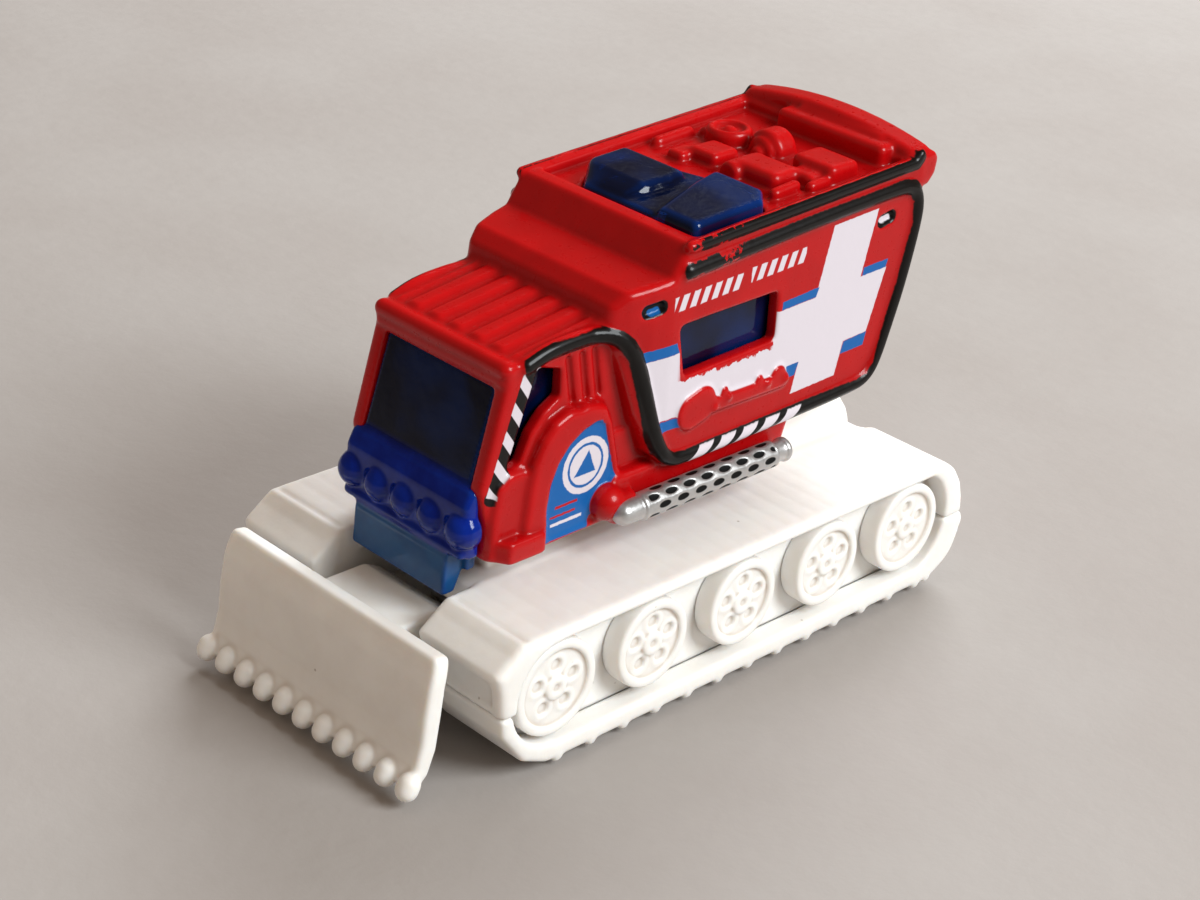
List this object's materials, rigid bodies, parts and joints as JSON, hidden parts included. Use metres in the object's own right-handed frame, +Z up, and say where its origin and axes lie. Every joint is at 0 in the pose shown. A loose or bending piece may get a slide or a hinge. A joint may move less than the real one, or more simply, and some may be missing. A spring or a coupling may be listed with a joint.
{
  "type": "toy tracked snow plough",
  "caption": "Small die-cast toy snow plough: red box-bodied cab on a white tracked undercarriage with a tilting front blade.",
  "frame": {"origin": "on the ground, under the centre of the overall bounding box", "axes": "+Z up, -Y towards the plough (front), +X towards the vehicle's left-hand side"},
  "size_m": [0.034, 0.0684, 0.0446],
  "materials": {
    "red_paint": "gloss enamel over zinc alloy",
    "blue_clear": "polished tinted transparent plastic",
    "white_plastic": "satin moulded plastic",
    "dark_plastic": "matt moulded plastic",
    "silver_paint": "silver printed enamel with black oval holes",
    "steel": "drawn wire, plated",
    "wheel_plastic": "smooth black plastic"
  },
  "bodies": {
    "vehicle": {"body_casting": "red_paint", "cab_glazing": "blue_clear", "box_glazing": "blue_clear", "cab_interior": "dark_plastic", "exhaust_left": "silver_paint", "exhaust_right": "silver_paint", "track_deck": "white_plastic", "base_pan": "white_plastic", "front_axle": "steel", "rear_axle": "steel", "front_rivet": "steel", "rear_rivet": "steel", "road_wheel_left_1": "white_plastic", "road_wheel_left_2": "white_plastic", "road_wheel_left_3": "white_plastic", "road_wheel_left_4": "white_plastic", "road_wheel_left_5": "white_plastic", "road_wheel_right_1": "white_plastic", "road_wheel_right_2": "white_plastic", "road_wheel_right_3": "white_plastic", "road_wheel_right_4": "white_plastic", "road_wheel_right_5": "white_plastic"},
    "plough_unit": {"plough": "white_plastic"},
    "front_left_wheel": {"wheel_front_left": "wheel_plastic"},
    "front_right_wheel": {"wheel_front_right": "wheel_plastic"},
    "rear_left_wheel": {"wheel_rear_left": "wheel_plastic"},
    "rear_right_wheel": {"wheel_rear_right": "wheel_plastic"}
  },
  "joints": [
    {"name": "plough_lift", "type": "hinge", "parent": "vehicle", "child": "plough_unit", "pos_m": [0, -0.0212, 0.0071], "axis": [-1, 0, 0], "range_deg": [0, 18]},
    {"name": "front_left_spin", "type": "hinge", "parent": "vehicle", "child": "front_left_wheel", "pos_m": [0.011, -0.0125, 0.0034], "axis": [1, 0, 0], "continuous": true},
    {"name": "front_right_spin", "type": "hinge", "parent": "vehicle", "child": "front_right_wheel", "pos_m": [-0.011, -0.0125, 0.0034], "axis": [1, 0, 0], "continuous": true},
    {"name": "rear_left_spin", "type": "hinge", "parent": "vehicle", "child": "rear_left_wheel", "pos_m": [0.011, 0.0195, 0.0034], "axis": [1, 0, 0], "continuous": true},
    {"name": "rear_right_spin", "type": "hinge", "parent": "vehicle", "child": "rear_right_wheel", "pos_m": [-0.011, 0.0195, 0.0034], "axis": [1, 0, 0], "continuous": true}
  ]
}
